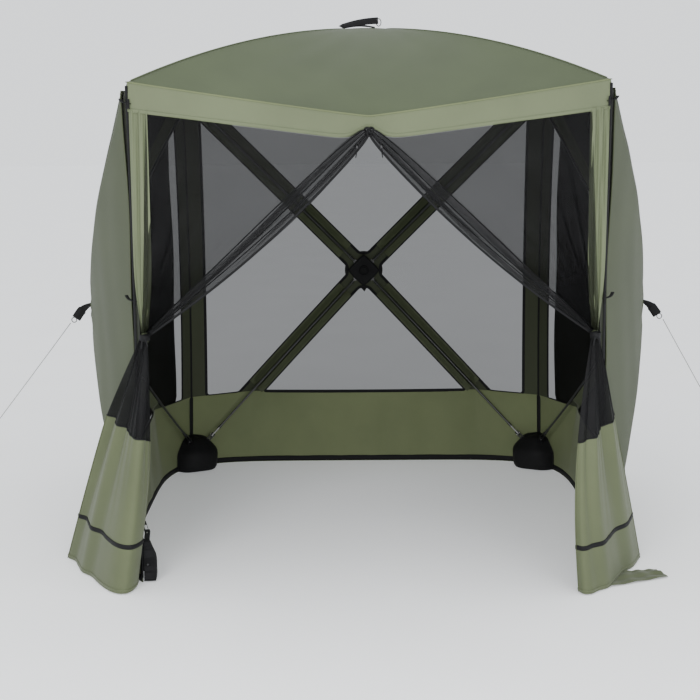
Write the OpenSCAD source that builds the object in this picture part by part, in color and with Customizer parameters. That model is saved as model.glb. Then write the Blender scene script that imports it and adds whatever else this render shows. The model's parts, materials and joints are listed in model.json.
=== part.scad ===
// Pop-up screen house: three hub walls and a hub roof around an open curtained front.
// +X is right, +Y is the back wall's side, +Z is up.
// The origin is on the ground, under the middle of the bounding box without its guy lines.

/* [Shelter] */
// Side of the square that the four corners stand on
side = 1600; // [1560:10:1660]
// Height of the roof's corners above the ground
corner_h = 1705; // [1690:5:1740]
// Height of the poles' lower ends above the ground
foot_h = 48; // [44:1:52]
// How far a wall hub stands out from its wall's corners
wall_rise = 280; // [265:5:290]
// How far the roof hub stands above the roof's corners
roof_rise = 230; // [220:5:240]

/* [Cloth] */
// Thickness of the cloth solids
cloth_t = 2; // [1.5:0.5:2.5]
// Bow of a wall's cloth between hub and corner
wall_bow = 35; // [30:1:40]
// Bow of the roof's cloth between hub and corner
roof_bow = 50; // [44:1:54]
// Width of the cloth strips that cross each wall
strip_w = 80; // [60:5:100]
// Width of the cloth border beside each window
border_w = 70; // [65:5:90]
// Height of the solid cloth band at the foot of each wall
band_h = 330; // [280:10:380]
// How far the foot of each band stands out from the line between its corners
foot_bow = 100; // [80:5:110]

/* [Poles and hubs] */
// Diameter of the fibreglass poles
pole_d = 9.5; // [8:0.5:11]
// Bow of a pole between its two pins
pole_bow = 18; // [12:1:26]
// Distance of a hub's pins from its middle
hub_pin_s = 52; // [50:1:56]
// Distance of a corner pin from its corner
corner_pin_s = 140; // [138:1:146]
// Diameter of the hinge pins
pin_d = 6; // [5:0.5:6]

/* [Door] */
// Height at which the curtains are tied back
tie_h = 870; // [820:10:920]
// Depth of the roof's front valance at the corners
valance_h = 80; // [70:2:90]
// How much lower the valance's edge hangs in the middle
valance_dip = 82; // [70:2:90]
// Width of the gathered cloth strip at each front corner
jamb_w = 65; // [50:5:80]

/* [Hidden] */
$fn = 48;
half = side / 2;
half_h = (corner_h - foot_h) / 2;
// Shares of a wall's half size, from its hub to its edge, where its cloth starts, folds and is cut
hub_t = 0.12;
window_t = 0.13;
band_t = 1 - (band_h - foot_h) / half_h;
border_t = 1 - border_w / half_h;
panel_t = 0.96;
strip_x = strip_w / 2 * norm([half, half_h]) / half_h;
strip_y = strip_w / 2 * norm([half, half_h]) / half;
wedge_t = band_t + strip_y / half_h;
band_low = -band_t * half_h;
band_steps = [-1, -0.95, -0.88, -0.78, -band_t, -0.3, 0.3, band_t, 0.78, 0.88, 0.95, 1];
cloth_steps = [hub_t, window_t, 0.2, 0.4, band_t, wedge_t, 0.78, border_t, panel_t, 1];
pin_r = pin_d / 2;
bore_r = pin_r + 0.05;
tongue_t = 5;
fork_gap = 6.4;
cheek_t = 5;
cheek_h = 18;
eye_r = 7;
cover_w = 103;
strap_s = 35;
corner_depth = 6; // how far the corner pins lie inside the corner plane
corner_slide = 33; // the way that a corner pin needs along its slot, with room to spare
slot_play = 1.3; // room for the pin across its slot, as the pole's turn isn't quite in step with its hub
corner_root_s = corner_pin_s - 45; // where a bracket's forks grow out of its body
boot_r = 104;
boot_t = 2.5;
front_boot_d = 45; // how far a front boot reaches inward; the back ones are quarter domes
valance_low = corner_h - valance_h;
valance_mid = valance_low - valance_dip;
tie_x = half - 35; // the middle of a curtain's tie
seam_h = 545; // where a curtain's mesh meets its cloth, below the tie
line_d = 3;

// Each wall: its name, the turn that faces it outward, and the names of its local -X and +X sides
WALLS = [
    ["left", -90, "back", "front"],
    ["right", 90, "front", "back"],
    ["back", 180, "right", "left"]
];
HUBS = ["left", "right", "back", "roof"];
SIGNS = [-1, 1];

function upright(sy) = sy > 0 ? "upper" : "lower";
function pole_name(w, sx, sy) = str(w[0], "_pole_", upright(sy), "_", sx > 0 ? w[3] : w[2]);
function roof_pole_name(sx, sy) =
    str("roof_pole_", sy > 0 ? "back" : "front", "_", sx > 0 ? "right" : "left");
WALL_POLES = [for (w = WALLS, sx = SIGNS, sy = SIGNS) pole_name(w, sx, sy)];
ROOF_POLES = [for (sx = SIGNS, sy = SIGNS) roof_pole_name(sx, sy)];

// The shape of a hub wall: height of the cloth above its corner plane at share t of its half size
function rise_of(name) = name == "roof" ? roof_rise : wall_rise;
function bow_of(name) = name == "roof" ? roof_bow : wall_bow;
function half_of(name) = name == "roof" ? half : half_h;
function cloth_z(name, t) = rise_of(name) * (1 - t) + 4 * bow_of(name) * t * (1 - t);
function patch_top(name) = cloth_z(name, hub_t) + cloth_t + 1;
function hub_z(name) = cloth_z(name, hub_t) - 8; // the height of a hub's four pins

// The way from the shelter's own middle to the middle between its curtains' foot and its back strap
front_y = -969;
back_y = half + patch_top("back") + 10;
shift_y = -(front_y + back_y) / 2;

// The left guy line's points as on the right side, from its strap's ring down to the peg
LINE_POINTS = [
    [1174, 0, 800], [1217, 0, 744], [1260, 0, 688], [1303, 0, 633], [1346, 0, 577],
    [1389, 0, 522], [1432, 0, 467], [1475, 0, 412], [1518, 0, 357], [1561, 0, 301],
    [1604, 0, 246], [1647, 0, 190], [1690, 0, 135], [1733, 0, 79], [1776, 0, 24]
];
right_reach = 0.74; // the right guy line's reach as a share of the left one's
function line_reach(sx) = sx > 0 ? right_reach : 1;
function line_points(sx) =
    let (x0 = LINE_POINTS[0][0])
    [for (p = LINE_POINTS) [x0 + (p[0] - x0) * line_reach(sx), 0, p[2]]];

// Where the right curtain's cloth stands on the ground, from its inner edge to its outer edge
FOOT_POINTS = [
    [795, -835, 0], [765, -900, 0], [790, -968, 0], [850, -950, 0], [915, -870, 0],
    [970, -780, 0], [1015, -670, 0], [1055, -540, 0]
];

/* Placing */

// Moves a shape from the shelter's own middle to the part's frame
module placed() {
    translate([0, shift_y, 0]) children();
}

// Wall frame: local X along the wall, local Y up or back, local Z outward from the corner plane
module on_wall(w) {
    placed() translate([0, 0, foot_h + half_h]) rotate([90, 0, w[1]]) translate([0, 0, half]) children();
}

module on_roof() {
    placed() translate([0, 0, corner_h]) children();
}

module on_hub(name) {
    if (name == "roof") on_roof() children();
    if (name != "roof") on_wall(WALLS[search([name], WALLS)[0]]) children();
}

// Turns local X towards one corner, so that local X and Z span the plane of that corner's pole
module along_ridge(name, sx, sy) {
    rotate([0, 0, atan2(sy * half_of(name), sx * half)]) children();
}

function ridge_len(name) = norm([half, half_of(name)]);

module mirrored(sx) {
    placed() mirror([sx < 0 ? 1 : 0, 0, 0]) children();
}

/* Cloth shapes */

// A closed sheet over a grid of points, thickened outward.
// Its rows and columns turn anticlockwise, seen from outside.
module sheet(rows) {
    n = len(rows);
    m = len(rows[0]);
    low = [for (r = rows, p = r) p];
    high = [for (p = low) p + [0, 0, cloth_t]];
    under = [for (i = [0 : n - 2], j = [0 : m - 2]) let (a = i * m + j)
        each [[a, a + m, a + m + 1], [a, a + m + 1, a + 1]]];
    over = [for (f = under) [f[2], f[1], f[0]] + n * m * [1, 1, 1]];
    rim = concat(
        [for (i = [0 : n - 2]) [i * m, i * m + m]],
        [for (j = [0 : m - 2]) [(n - 1) * m + j, (n - 1) * m + j + 1]],
        [for (i = [n - 1 : -1 : 1]) [i * m + m - 1, i * m - 1]],
        [for (j = [m - 1 : -1 : 1]) [j, j - 1]]
    );
    sides = [for (e = rim) each [[e[0], e[0] + n * m, e[1] + n * m], [e[0], e[1] + n * m, e[1]]]];
    polyhedron(concat(low, high), concat(under, over, sides), convexity = 4);
}

// Sector k of a hub wall lies above (0), left (1), below (2) or right (3) of its hub, seen from outside
function sector_point(name, k, t, s, lift) =
    let (across = t * half, up = t * half_of(name), z = cloth_z(name, t) + lift)
    [[s, up, z], [-across, s, z], [s, -up, z], [across, s, z]][k];
function sector_row(name, k, t, inset, low, lift) =
    let (
        reach = t * (k % 2 == 0 ? half : half_of(name)) - inset,
        ends = [k % 2 == 0 ? -reach : max(-reach, low), reach],
        points = [for (s = ends) sector_point(name, k, t, s, lift)]
    )
    k < 2 ? [points[1], points[0]] : points;

// The part of sector k between two shares of the wall's half size, inset from its two ridges
module sector(name, k, from_t, to_t, inset = 0, low = -corner_h, lift = 0) {
    steps = [for (t = cloth_steps) if (t >= from_t && t <= to_t) t];
    sheet([for (t = steps) sector_row(name, k, t, inset, low, lift)]);
}

// The strip of cloth along one ridge; a lower one ends level with the top of the foot band
module ridge_strip(name, sx, sy) {
    last_t = sy > 0 ? 1 : band_t;
    rows = [
        for (t = cloth_steps)
            if (t <= last_t)
                let (
                    x = t * half,
                    y = t * half_h,
                    z = cloth_z(name, t),
                    edge_t = sy < 0 && t == band_t ? wedge_t : t
                )
                [
                    [sx * (x - strip_x), sy * y, z],
                    [sx * x, sy * y, z],
                    [sx * edge_t * half, sy * (edge_t * half_h - strip_y), cloth_z(name, edge_t)]
                ]
    ];
    sheet([for (r = rows) sx * sy > 0 ? [r[2], r[1], r[0]] : r]);
}

// A thin flat panel through points, with a cube of cloth at each
module panel(points, t = cloth_t) {
    hull() for (p = points) translate(p) cube(t, center = true);
}

/* Hubs */

module fork(length, back) {
    for (s = SIGNS)
        translate([-back, s * (fork_gap + cheek_t) / 2 - cheek_t / 2, -cheek_h / 2])
            difference() {
                cube([length, cheek_t, cheek_h]);
                translate([back, -1, cheek_h / 2]) rotate([-90, 0, 0])
                    cylinder(h = cheek_t + 2, r = pin_r + 0.02);
            }
}

module hinge_pin() {
    rotate([90, 0, 0]) cylinder(h = fork_gap + 2 * cheek_t + 2, r = pin_r, center = true);
}

module hub(name) {
    z = hub_z(name);
    color("#16171a") {
        translate([0, 0, z - 12]) cylinder(h = 12 + cheek_h / 2, r = 40);
        for (sx = SIGNS, sy = SIGNS)
            along_ridge(name, sx, sy)
                translate([hub_pin_s, 0, z]) fork(30, 20);
    }
    color("silver")
        for (sx = SIGNS, sy = SIGNS)
            along_ridge(name, sx, sy) translate([hub_pin_s, 0, z]) hinge_pin();
}

// The square cover and round disc on the hub's inner face
module hub_cover(name) {
    color("#0b0c0e") translate([0, 0, hub_z(name) - 15]) {
        rotate(45) translate([-cover_w / 2, -cover_w / 2, 0]) cube([cover_w, cover_w, 3]);
        translate([0, 0, -5]) cylinder(h = 5, r = 22);
    }
}

// The reinforced cloth round that closes the wall's cloth over the hub
module hub_patch(name) {
    z = hub_z(name) + cheek_h / 2;
    color("#6b755c") translate([0, 0, z]) cylinder(h = patch_top(name) - z, r = 88);
}

/* Poles */

// A pole in its ridge plane: a bowed rod with a bored tongue at the hub and a slotted one at the corner
module pole(name) {
    z0 = hub_z(name);
    s1 = ridge_len(name) - corner_pin_s;
    chord = norm([s1 - hub_pin_s, -corner_depth - z0]);
    slope = atan2(-corner_depth - z0, s1 - hub_pin_s);
    arc_r = (chord * chord / 4 + pole_bow * pole_bow) / (2 * pole_bow);
    spread = asin(chord / 2 / arc_r);
    mid = [(hub_pin_s + s1) / 2, 0, (z0 - corner_depth) / 2];
    centre = mid - (arc_r - pole_bow) * [-sin(slope), 0, cos(slope)];
    hub_end = 26 / arc_r * 180 / PI;
    corner_end = 56 / arc_r * 180 / PI;
    color("#1c1e1b") {
        translate(centre) rotate([90, 0, 0]) rotate([0, 0, slope + 90 - spread + corner_end])
            rotate_extrude(angle = 2 * spread - hub_end - corner_end)
                translate([arc_r, 0]) circle(pole_d / 2, $fn = 24);
        translate([hub_pin_s, 0, z0]) rotate([0, -slope - spread, 0]) hub_tongue();
        translate([s1, 0, -corner_depth]) rotate([0, -slope + spread, 0]) corner_tongue(spread);
    }
}

module ferrule(length) {
    rotate([0, 90, 0]) cylinder(h = length, r = pole_d / 2 + 1.6, $fn = 32);
}

module hub_tongue() {
    difference() {
        union() {
            rotate([90, 0, 0]) cylinder(h = tongue_t, r = eye_r, center = true);
            translate([0, -tongue_t / 2, -eye_r + 1]) cube([18, tongue_t, 2 * eye_r - 2]);
            translate([18, 0, 0]) ferrule(22);
        }
        rotate([90, 0, 0]) cylinder(h = tongue_t + 2, r = bore_r, center = true);
    }
}

// The slot runs along the pole's chord, which lies at tilt to its end
module corner_tongue(tilt) {
    slot_h = 2 * (pin_r + slot_play);
    difference() {
        union() {
            rotate([90, 0, 0]) cylinder(h = tongue_t, r = eye_r + 1, center = true);
            translate([-50, -tongue_t / 2, -eye_r - 1]) cube([50, tongue_t, 2 * eye_r + 2]);
            translate([-68, 0, 0]) ferrule(22);
        }
        rotate([0, -tilt, 0]) {
            for (x = [0, -corner_slide])
                translate([x, 0, 0]) rotate([90, 0, 0])
                    cylinder(h = tongue_t + 2, r = slot_h / 2, center = true);
            translate([-corner_slide, -tongue_t, -slot_h / 2])
                cube([corner_slide, 2 * tongue_t, slot_h]);
        }
    }
}

/* Corners */

// One arm of a corner bracket: a fork for a pole's slotted tongue, joined to the corner's ball
module bracket_arm(name, sx, sy) {
    s = ridge_len(name);
    on_hub(name) along_ridge(name, sx, sy) {
        translate([s - corner_pin_s, 0, -corner_depth]) fork(60, 13);
        hull() {
            translate([s - corner_root_s, -fork_gap / 2 - cheek_t, -corner_depth - cheek_h / 2])
                cube([4, fork_gap + 2 * cheek_t, cheek_h]);
            translate([s - 22.6, 0, -17]) sphere(12, $fn = 24);
        }
    }
}

// The arms of both corners of one pair, each named by wall and corner signs
module brackets(arms) {
    color("#131416") for (a = arms) bracket_arm(a[0], a[1], a[2]);
}

module corner_pin(name, sx, sy) {
    on_hub(name) along_ridge(name, sx, sy)
        translate([ridge_len(name) - corner_pin_s, 0, -corner_depth]) hinge_pin();
}

module corner_pins() {
    color("silver") for (h = HUBS, sx = SIGNS, sy = SIGNS) corner_pin(h, sx, sy);
}

// A domed shell in the corner x, y > 0, reaching depth along x, with a flat face where that cuts it
module boot(depth) {
    difference() {
        intersection() {
            sphere(boot_r);
            translate([5, 5, -foot_h]) cube([depth, boot_r, 2 * boot_r]);
        }
        intersection() {
            sphere(boot_r - boot_t);
            translate([0, 0, -foot_h - 1]) cube([depth + 5 - boot_t, boot_r + 6, 2 * boot_r]);
        }
    }
}

// A round cloth boot over each foot corner, open where the bracket's arms come out
module corner_boots() {
    color("#08090a") difference() {
        for (sx = SIGNS, sy = SIGNS)
            placed() translate([sx * half, sy * half, foot_h])
                mirror([sx > 0 ? 1 : 0, 0, 0]) mirror([0, sy > 0 ? 1 : 0, 0])
                    boot(sy > 0 ? boot_r : front_boot_d);
        for (w = WALLS, sx = SIGNS)
            on_wall(w) along_ridge(w[0], sx, -1)
                translate([ridge_len(w[0]) - corner_root_s - 40, 0, -corner_depth - 1])
                    rotate([0, 90, 0]) cylinder(h = 70, r = 16);
    }
}

/* Straps */

// Where a folding strap's bar lies: to the right of the roof hub's middle, and above a wall hub's
module at_strap(name) {
    rotate(name == "roof" ? -90 : 0) translate([0, strap_s, patch_top(name) + 6]) children();
}

// A sewn webbing loop that turns on a bar held by the hub patch
module folding_strap(name) {
    color("#0b0b0c") at_strap(name) {
        difference() {
            union() {
                rotate([0, 90, 0]) cylinder(h = 30, r = 4, center = true);
                translate([-15, -130, -3.5]) cube([30, 130, 3]);
                translate([-15, -118, -0.5]) cube([30, 96, 3]);
            }
            rotate([0, 90, 0]) cylinder(h = 32, r = 2.08, center = true);
        }
    }
}

module strap_bar(name) {
    color("#0b0b0c") at_strap(name) {
        rotate([0, 90, 0]) cylinder(h = 44, r = 2, center = true);
        for (s = SIGNS) translate([s * 19, 0, -3]) cube([5, 5, 7.9], center = true);
    }
}

// A webbing tab held out and down by its guy line, with a ring at its end
module held_strap(name) {
    z = patch_top(name);
    color("#0b0b0c") {
        hull() {
            translate([-9, 0, z + 1]) cube([18, 30, 2]);
            translate([-9, -8, z + 22]) cube([18, 3, 3]);
        }
        hull() {
            translate([-9, -8, z + 22]) cube([18, 3, 3]);
            translate([-20, -60, z + 92]) cube([40, 4, 4]);
        }
        translate([0, -66, z + 101]) rotate([0, 90, 0])
            rotate_extrude() translate([8, 0]) circle(1.8, $fn = 16);
    }
}

module pull_strap(name) {
    if (name == "roof" || name == "back") folding_strap(name);
    if (name == "left" || name == "right") held_strap(name);
}

/* Walls and roof */

module roof_cloth() {
    color("#70795f") on_roof() for (k = [0 : 3]) sector("roof", k, hub_t, 1);
}

module front_valance() {
    color("#7e866a") placed() translate([0, -half, 0]) rotate([90, 0, 0]) linear_extrude(cloth_t)
        polygon([
            [-half, corner_h], [-half, valance_low], [0, valance_mid],
            [half, valance_low], [half, corner_h]
        ]);
}

// The crossed strips, the borders round the windows and the band at the wall's foot
module wall_cloth(w) {
    name = w[0];
    color("#5d6549") on_wall(w) {
        for (sx = SIGNS, sy = SIGNS) ridge_strip(name, sx, sy);
        for (k = [0 : 3]) sector(name, k, hub_t, window_t, k % 2 == 0 ? strip_x : strip_y);
        for (k = [0, 1, 3]) sector(name, k, border_t, 1, k == 0 ? strip_x : strip_y, band_low);
        foot_band(name);
    }
}

// How far a wall's band stands out from the corner plane at share u of its half width:
// at the ground, and at a share of the band's height
function foot_z(u) = foot_bow * (1 - pow(abs(u), 6));
function band_z(name, u, up) =
    foot_z(u) + (cloth_z(name, max(abs(u), band_t)) - foot_z(u)) * up;

// The solid band round the foot of a wall, outside its poles, from the windows down to the ground
module foot_band(name) {
    sheet([
        for (up = [1, 0.5, 0])
            [for (u = band_steps) [u * half, -half_h - foot_h + band_h * up, band_z(name, u, up)]]
    ]);
}

module window_meshes() {
    color("#2c2d2f") for (w = WALLS)
        on_wall(w) {
            for (k = [0, 2])
                sector(w[0], k, window_t, k == 2 ? band_t : border_t, strip_x);
            for (k = [1, 3]) sector(w[0], k, window_t, border_t, strip_y, band_low);
        }
}

// The separate cloth that buttons over a side wall's windows, outside
module wind_panel(w) {
    color("#6e7760") on_wall(w) {
        for (k = [0, 1, 3]) sector(w[0], k, hub_t, panel_t, 0, band_low, cloth_t + 8);
        sector(w[0], 2, hub_t, band_t, 0, 0, cloth_t + 8);
    }
}

/* Front */

module front_jambs() {
    color("#8f967a") for (sx = SIGNS)
        mirrored(sx) translate([half - jamb_w, -half + 1, tie_h - 15])
            cube([jamb_w - 3, cloth_t, valance_low - tie_h + 13]);
}

// A point of the gathered curtain at share k of its way round, and share d of the way down from the tie
function tie_point(k) = [tie_x - 13 + 26 * k, -half - 34 + 6 * sin(180 * k), tie_h];
function drape_point(i, d) =
    let (
        foot = FOOT_POINTS[i] + [0, 0, cloth_t / 2],
        top = tie_point(i / (len(FOOT_POINTS) - 1))
    )
    top + (foot - top) * d;
function seam_share() = (tie_h - seam_h) / tie_h;

module drape(d0, d1) {
    for (i = [0 : len(FOOT_POINTS) - 2])
        panel([for (d = [d0, d1], j = [i, i + 1]) drape_point(j, d)]);
}

// The swept-back mesh above the tie and the gathered mesh below it
module curtain_mesh(sx) {
    color("#26272a") mirrored(sx) {
        translate([0, -half - 6, 0]) rotate([90, 0, 0]) linear_extrude(cloth_t)
            polygon([
                [half - jamb_w, valance_low - 2], [12, valance_mid - 2],
                [tie_x - 12, tie_h + 24], [tie_x + 12, tie_h + 24]
            ]);
        drape(0, seam_share());
    }
}

module curtain_skirt(sx) {
    color("#929b7c") mirrored(sx) drape(seam_share() + 0.004, 1);
}

// The band that holds each curtain to its corner, and the knot at the middle of the valance
module curtain_ties() {
    color("#0b0b0c") {
        for (sx = SIGNS) mirrored(sx)
            translate([tie_x, -half - 22, tie_h - 6]) difference() {
                cylinder(h = 26, r = 22);
                translate([0, 0, -1]) cylinder(h = 28, r = 20.5);
            }
        placed() translate([0, -half - 11, valance_mid + 12]) rotate([90, 0, 0]) cylinder(h = 8, r = 9);
    }
}

// A zip slider that straddles its curtain's swept-back edge, near the knot, with its pull cord
function edge_vector() = [tie_x - 12 - 12, 0, tie_h + 24 - (valance_mid - 2)];
module zip_slider(sx) {
    along = edge_vector() / norm(edge_vector());
    at = [12, -half - 6 - cloth_t / 2, valance_mid - 2] + 40 * along;
    color("#0b0b0c") mirrored(sx) translate(at)
        rotate([0, atan2(-along[2], along[0]), 0]) difference() {
            translate([-9, -5, -8]) cube([18, 10, 13]);
            translate([-10, -cloth_t / 2 - 0.6, -2]) cube([20, cloth_t + 1.2, 10]);
        }
}

/* Ground */

// A flat skirt of cloth along the foot of a wall, from its local left end to share to_u of its half width
module skirt(depth, to_u) {
    inner = [for (u = band_steps) if (abs(u) < 1 && u <= to_u) [u * half, foot_z(u) + cloth_t + 1]];
    outer = [for (i = [len(inner) - 1 : -1 : 0]) inner[i] + [0, depth]];
    linear_extrude(cloth_t) polygon(concat(inner, outer));
}

// The skirts behind and beside the walls, and the corner of the right curtain that lies on the ground
module ground_skirts() {
    color("#6b7350") {
        placed() translate([0, half, 0]) skirt(90, 1);
        for (sx = SIGNS) mirrored(sx) translate([half, 0, 0]) rotate(-90) skirt(70, 0.3);
        mirrored(1) linear_extrude(cloth_t)
            polygon([
                [905, -905], [1049, -800], [1040, -720], [1002, -723], [982, -786], [927, -877]
            ]);
    }
}

// A round tube swept along points, with flat ends
module tube(points, r) {
    n = len(points);
    sides = 8;
    ring = [
        for (i = [0 : n - 1])
            let (
                a = points[max(i - 1, 0)],
                b = points[min(i + 1, n - 1)],
                d = (b - a) / norm(b - a),
                u = [-d[2], 0, d[0]]
            )
            for (k = [0 : sides - 1])
                points[i] + r * (cos(360 * k / sides) * [0, 1, 0] + sin(360 * k / sides) * u)
    ];
    walls = [for (i = [0 : n - 2], k = [0 : sides - 1]) let (j = (k + 1) % sides)
        [i * sides + k, i * sides + j, (i + 1) * sides + j, (i + 1) * sides + k]];
    ends = [[for (k = [sides - 1 : -1 : 0]) k], [for (k = [0 : sides - 1]) (n - 1) * sides + k]];
    polyhedron(ring, concat(walls, ends));
}

module guy_line(sx) {
    color("#8b8b88") mirrored(sx) tube(line_points(sx), line_d / 2);
}

// A steel peg that leans away from its guy line, shown from the ground up
module peg(sx) {
    end = line_points(sx)[len(LINE_POINTS) - 1];
    color("#5c5d60") mirrored(sx) translate([end[0] + 5.5, 0, 0]) intersection() {
        translate([0, 0, -8]) rotate([0, 18, 0]) {
            cylinder(h = 55, r = 3.5);
            translate([-8, 0, 55]) rotate([90, 0, 0])
                rotate_extrude(angle = 180) translate([8, 0]) circle(3.5, $fn = 24);
        }
        translate([0, 0, 50]) cube([100, 40, 100], center = true);
    }
}

/* Nodes */

for (h = HUBS) {
    on_hub(h) hub(h);
    on_hub(h) hub_cover(h);
    on_hub(h) {
        hub_patch(h);
        if (h == "roof" || h == "back") strap_bar(h);
    }
    on_hub(h) pull_strap(h);
}
for (w = WALLS, sx = SIGNS, sy = SIGNS)
    on_wall(w) along_ridge(w[0], sx, sy) pole(w[0]);
for (sx = SIGNS, sy = SIGNS)
    on_roof() along_ridge("roof", sx, sy) pole("roof");

brackets([["left", 1, 1], ["right", -1, 1], ["roof", -1, -1], ["roof", 1, -1]]);  // top_front_brackets
brackets([  // top_back_brackets
        ["left", -1, 1], ["back", 1, 1], ["roof", -1, 1],
        ["right", 1, 1], ["back", -1, 1], ["roof", 1, 1]
    ]);
brackets([["left", 1, -1], ["right", -1, -1]]);  // bottom_front_brackets
brackets([["left", -1, -1], ["back", 1, -1], ["right", 1, -1], ["back", -1, -1]]);  // bottom_back_brackets
corner_pins();
corner_boots();

roof_cloth();
front_valance();
for (w = WALLS)
    wall_cloth(w);
window_meshes();
wind_panel(WALLS[0]);  // left_wind_panel
wind_panel(WALLS[1]);  // right_wind_panel

front_jambs();
curtain_mesh(-1);  // left_curtain_mesh
curtain_mesh(1);  // right_curtain_mesh
curtain_skirt(-1);  // left_curtain_skirt
curtain_skirt(1);  // right_curtain_skirt
curtain_ties();
zip_slider(-1);  // left_zip_slider
zip_slider(1);  // right_zip_slider

ground_skirts();
guy_line(-1);  // left_guy_line
guy_line(1);  // right_guy_line
peg(-1);  // left_peg
peg(1);  // right_peg
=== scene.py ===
# The looks of a pop-up screen house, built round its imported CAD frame.
# Metres; +Z is up, +Y points from the open front to the back wall, +X is right.
import json
import math

import bpy
import numpy as np
from mathutils import Matrix, Vector
from numpy import cos, exp, linspace, pi, sin

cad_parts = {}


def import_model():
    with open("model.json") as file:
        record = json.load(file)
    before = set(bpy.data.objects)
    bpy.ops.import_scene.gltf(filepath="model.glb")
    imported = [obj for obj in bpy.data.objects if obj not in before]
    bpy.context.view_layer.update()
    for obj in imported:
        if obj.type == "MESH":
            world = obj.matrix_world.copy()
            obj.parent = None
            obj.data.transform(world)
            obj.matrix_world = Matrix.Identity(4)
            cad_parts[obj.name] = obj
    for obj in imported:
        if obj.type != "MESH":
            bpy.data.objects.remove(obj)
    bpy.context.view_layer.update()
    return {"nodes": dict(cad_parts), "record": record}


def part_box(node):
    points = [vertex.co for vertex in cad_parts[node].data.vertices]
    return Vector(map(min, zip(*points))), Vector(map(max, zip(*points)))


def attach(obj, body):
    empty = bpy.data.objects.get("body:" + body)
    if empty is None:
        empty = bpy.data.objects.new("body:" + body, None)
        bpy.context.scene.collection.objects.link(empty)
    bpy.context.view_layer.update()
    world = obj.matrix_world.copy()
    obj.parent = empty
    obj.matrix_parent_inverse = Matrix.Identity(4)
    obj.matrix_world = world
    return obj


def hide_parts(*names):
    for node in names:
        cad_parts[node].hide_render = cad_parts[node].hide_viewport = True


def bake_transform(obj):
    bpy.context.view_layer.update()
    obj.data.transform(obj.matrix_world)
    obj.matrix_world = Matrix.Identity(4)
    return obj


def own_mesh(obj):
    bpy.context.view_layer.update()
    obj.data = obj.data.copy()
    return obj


TAU = 2 * pi

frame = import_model()

# ---- the shelter's measures, as in its CAD source

roof_low, roof_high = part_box("roof_cloth")
HALF = (roof_high.x - roof_low.x) / 2
CY = (roof_low.y + roof_high.y) / 2
CORNER_H = roof_low.z
FOOT_H = 0.048
HALF_H = (CORNER_H - FOOT_H) / 2
MID_H = FOOT_H + HALF_H
WALL_RISE, WALL_BOW = 0.28, 0.035
ROOF_RISE, ROOF_BOW = 0.23, 0.05
BAND_H = 0.33
FOOT_BOW = 0.1
STRIP_W = 0.08
HUB_T, WINDOW_T = 0.12, 0.095
BAND_T = 1 - (BAND_H - FOOT_H) / HALF_H
BORDER_T = 1 - 0.07 / HALF_H
PANEL_T = 0.96
STRIP = STRIP_W / 2 * math.hypot(HALF, HALF_H) / (HALF * HALF_H)
POLE_BOW = 0.018
HUB_PIN_S, CORNER_PIN_S, CORNER_DEPTH = 0.052, 0.14, 0.006
TIE_H = 0.87
TOP_LIFT = 0.025  # how far the cloth's top edges stand above the corner joints
TOP_H = CORNER_H + TOP_LIFT
CLOTH_RISE = ROOF_RISE - TOP_LIFT / (1 - HUB_T)
VALANCE_LOW = CORNER_H - 0.072
VALANCE_MID = CORNER_H - 0.175
KNOT_H = CORNER_H - 0.14
SEAM_DIP = 0.116  # how far the roof's front seam dips in its middle
SEAM_POWER = 1.08
FRONT_Y = CY - HALF
PLEATS = 4
JAMB_W = 0.062
TIE_R = 0.0165
SKIRT_SEAM, SKIRT_BAND = 0.37, 0.8  # shares of the way down from the tie
HOLE_R, SLIT_T, PANEL_LIFT = 0.094, 0.872, 0.0115
COVER_R, BOSS_R, PATCH_R, BOOT_R = 0.073, 0.021, 0.088, 0.118
TOGGLE_HEIGHTS = (1.665, 1.005)
EDGE_SAG = 0.022
CORD_R = 0.0016

LINE_START, LINE_STEP = (1.174, 0.8), 0.043
LINE_HEIGHTS = [
    0.8, 0.744, 0.688, 0.633, 0.577, 0.522, 0.467, 0.412, 0.357, 0.301, 0.246, 0.19, 0.135, 0.079, 0.024
]
RIGHT_REACH = 0.74
TIE_X = HALF - 0.035
# where each curtain stands on the ground, from its inner edge to its outer edge, as if on the right side
FOOT_POINTS = {
    "left": [
        (0.833, -0.75), (0.805, -0.83), (0.815, -0.9), (0.856, -0.935), (0.92, -0.87), (0.985, -0.77),
        (1.05, -0.65), (1.113, -0.518)
    ],
    "right": [
        (0.715, -0.925), (0.724, -0.965), (0.765, -0.955), (0.815, -0.89), (0.87, -0.8), (0.92, -0.71),
        (0.96, -0.635), (0.998, -0.564)
    ],
}

# Each wall: the middle of its corner plane, and its local X, Y and outward Z
WALLS = {
    "left": ((-HALF, CY, MID_H), (0, -1, 0), (-1, 0, 0)),
    "right": ((HALF, CY, MID_H), (0, 1, 0), (1, 0, 0)),
    "back": ((0, CY + HALF, MID_H), (-1, 0, 0), (0, 1, 0)),
}


# ---- camera

def set_camera():
    """A camera at standing height in front of the open door, tilted a little down."""
    yaw, pitch, roll = 0.0008, -0.1754, -0.0064
    forward = Vector((math.sin(yaw) * math.cos(pitch), math.cos(yaw) * math.cos(pitch), math.sin(pitch)))
    right = Vector((math.cos(yaw), -math.sin(yaw), 0))
    up = right.cross(forward)
    tilted_right = right * math.cos(roll) + up * math.sin(roll)
    tilted_up = up * math.cos(roll) - right * math.sin(roll)
    camera = bpy.data.cameras.new("camera")
    camera.lens = 74.2
    obj = bpy.data.objects.new("camera", camera)
    bpy.context.scene.collection.objects.link(obj)
    turn = Matrix((tilted_right, tilted_up, -forward)).transposed().to_4x4()
    obj.matrix_world = Matrix.Translation((-0.072, CY - 5.652, 1.6855)) @ turn
    bpy.context.scene.camera = obj


set_camera()


# ---- materials

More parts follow.
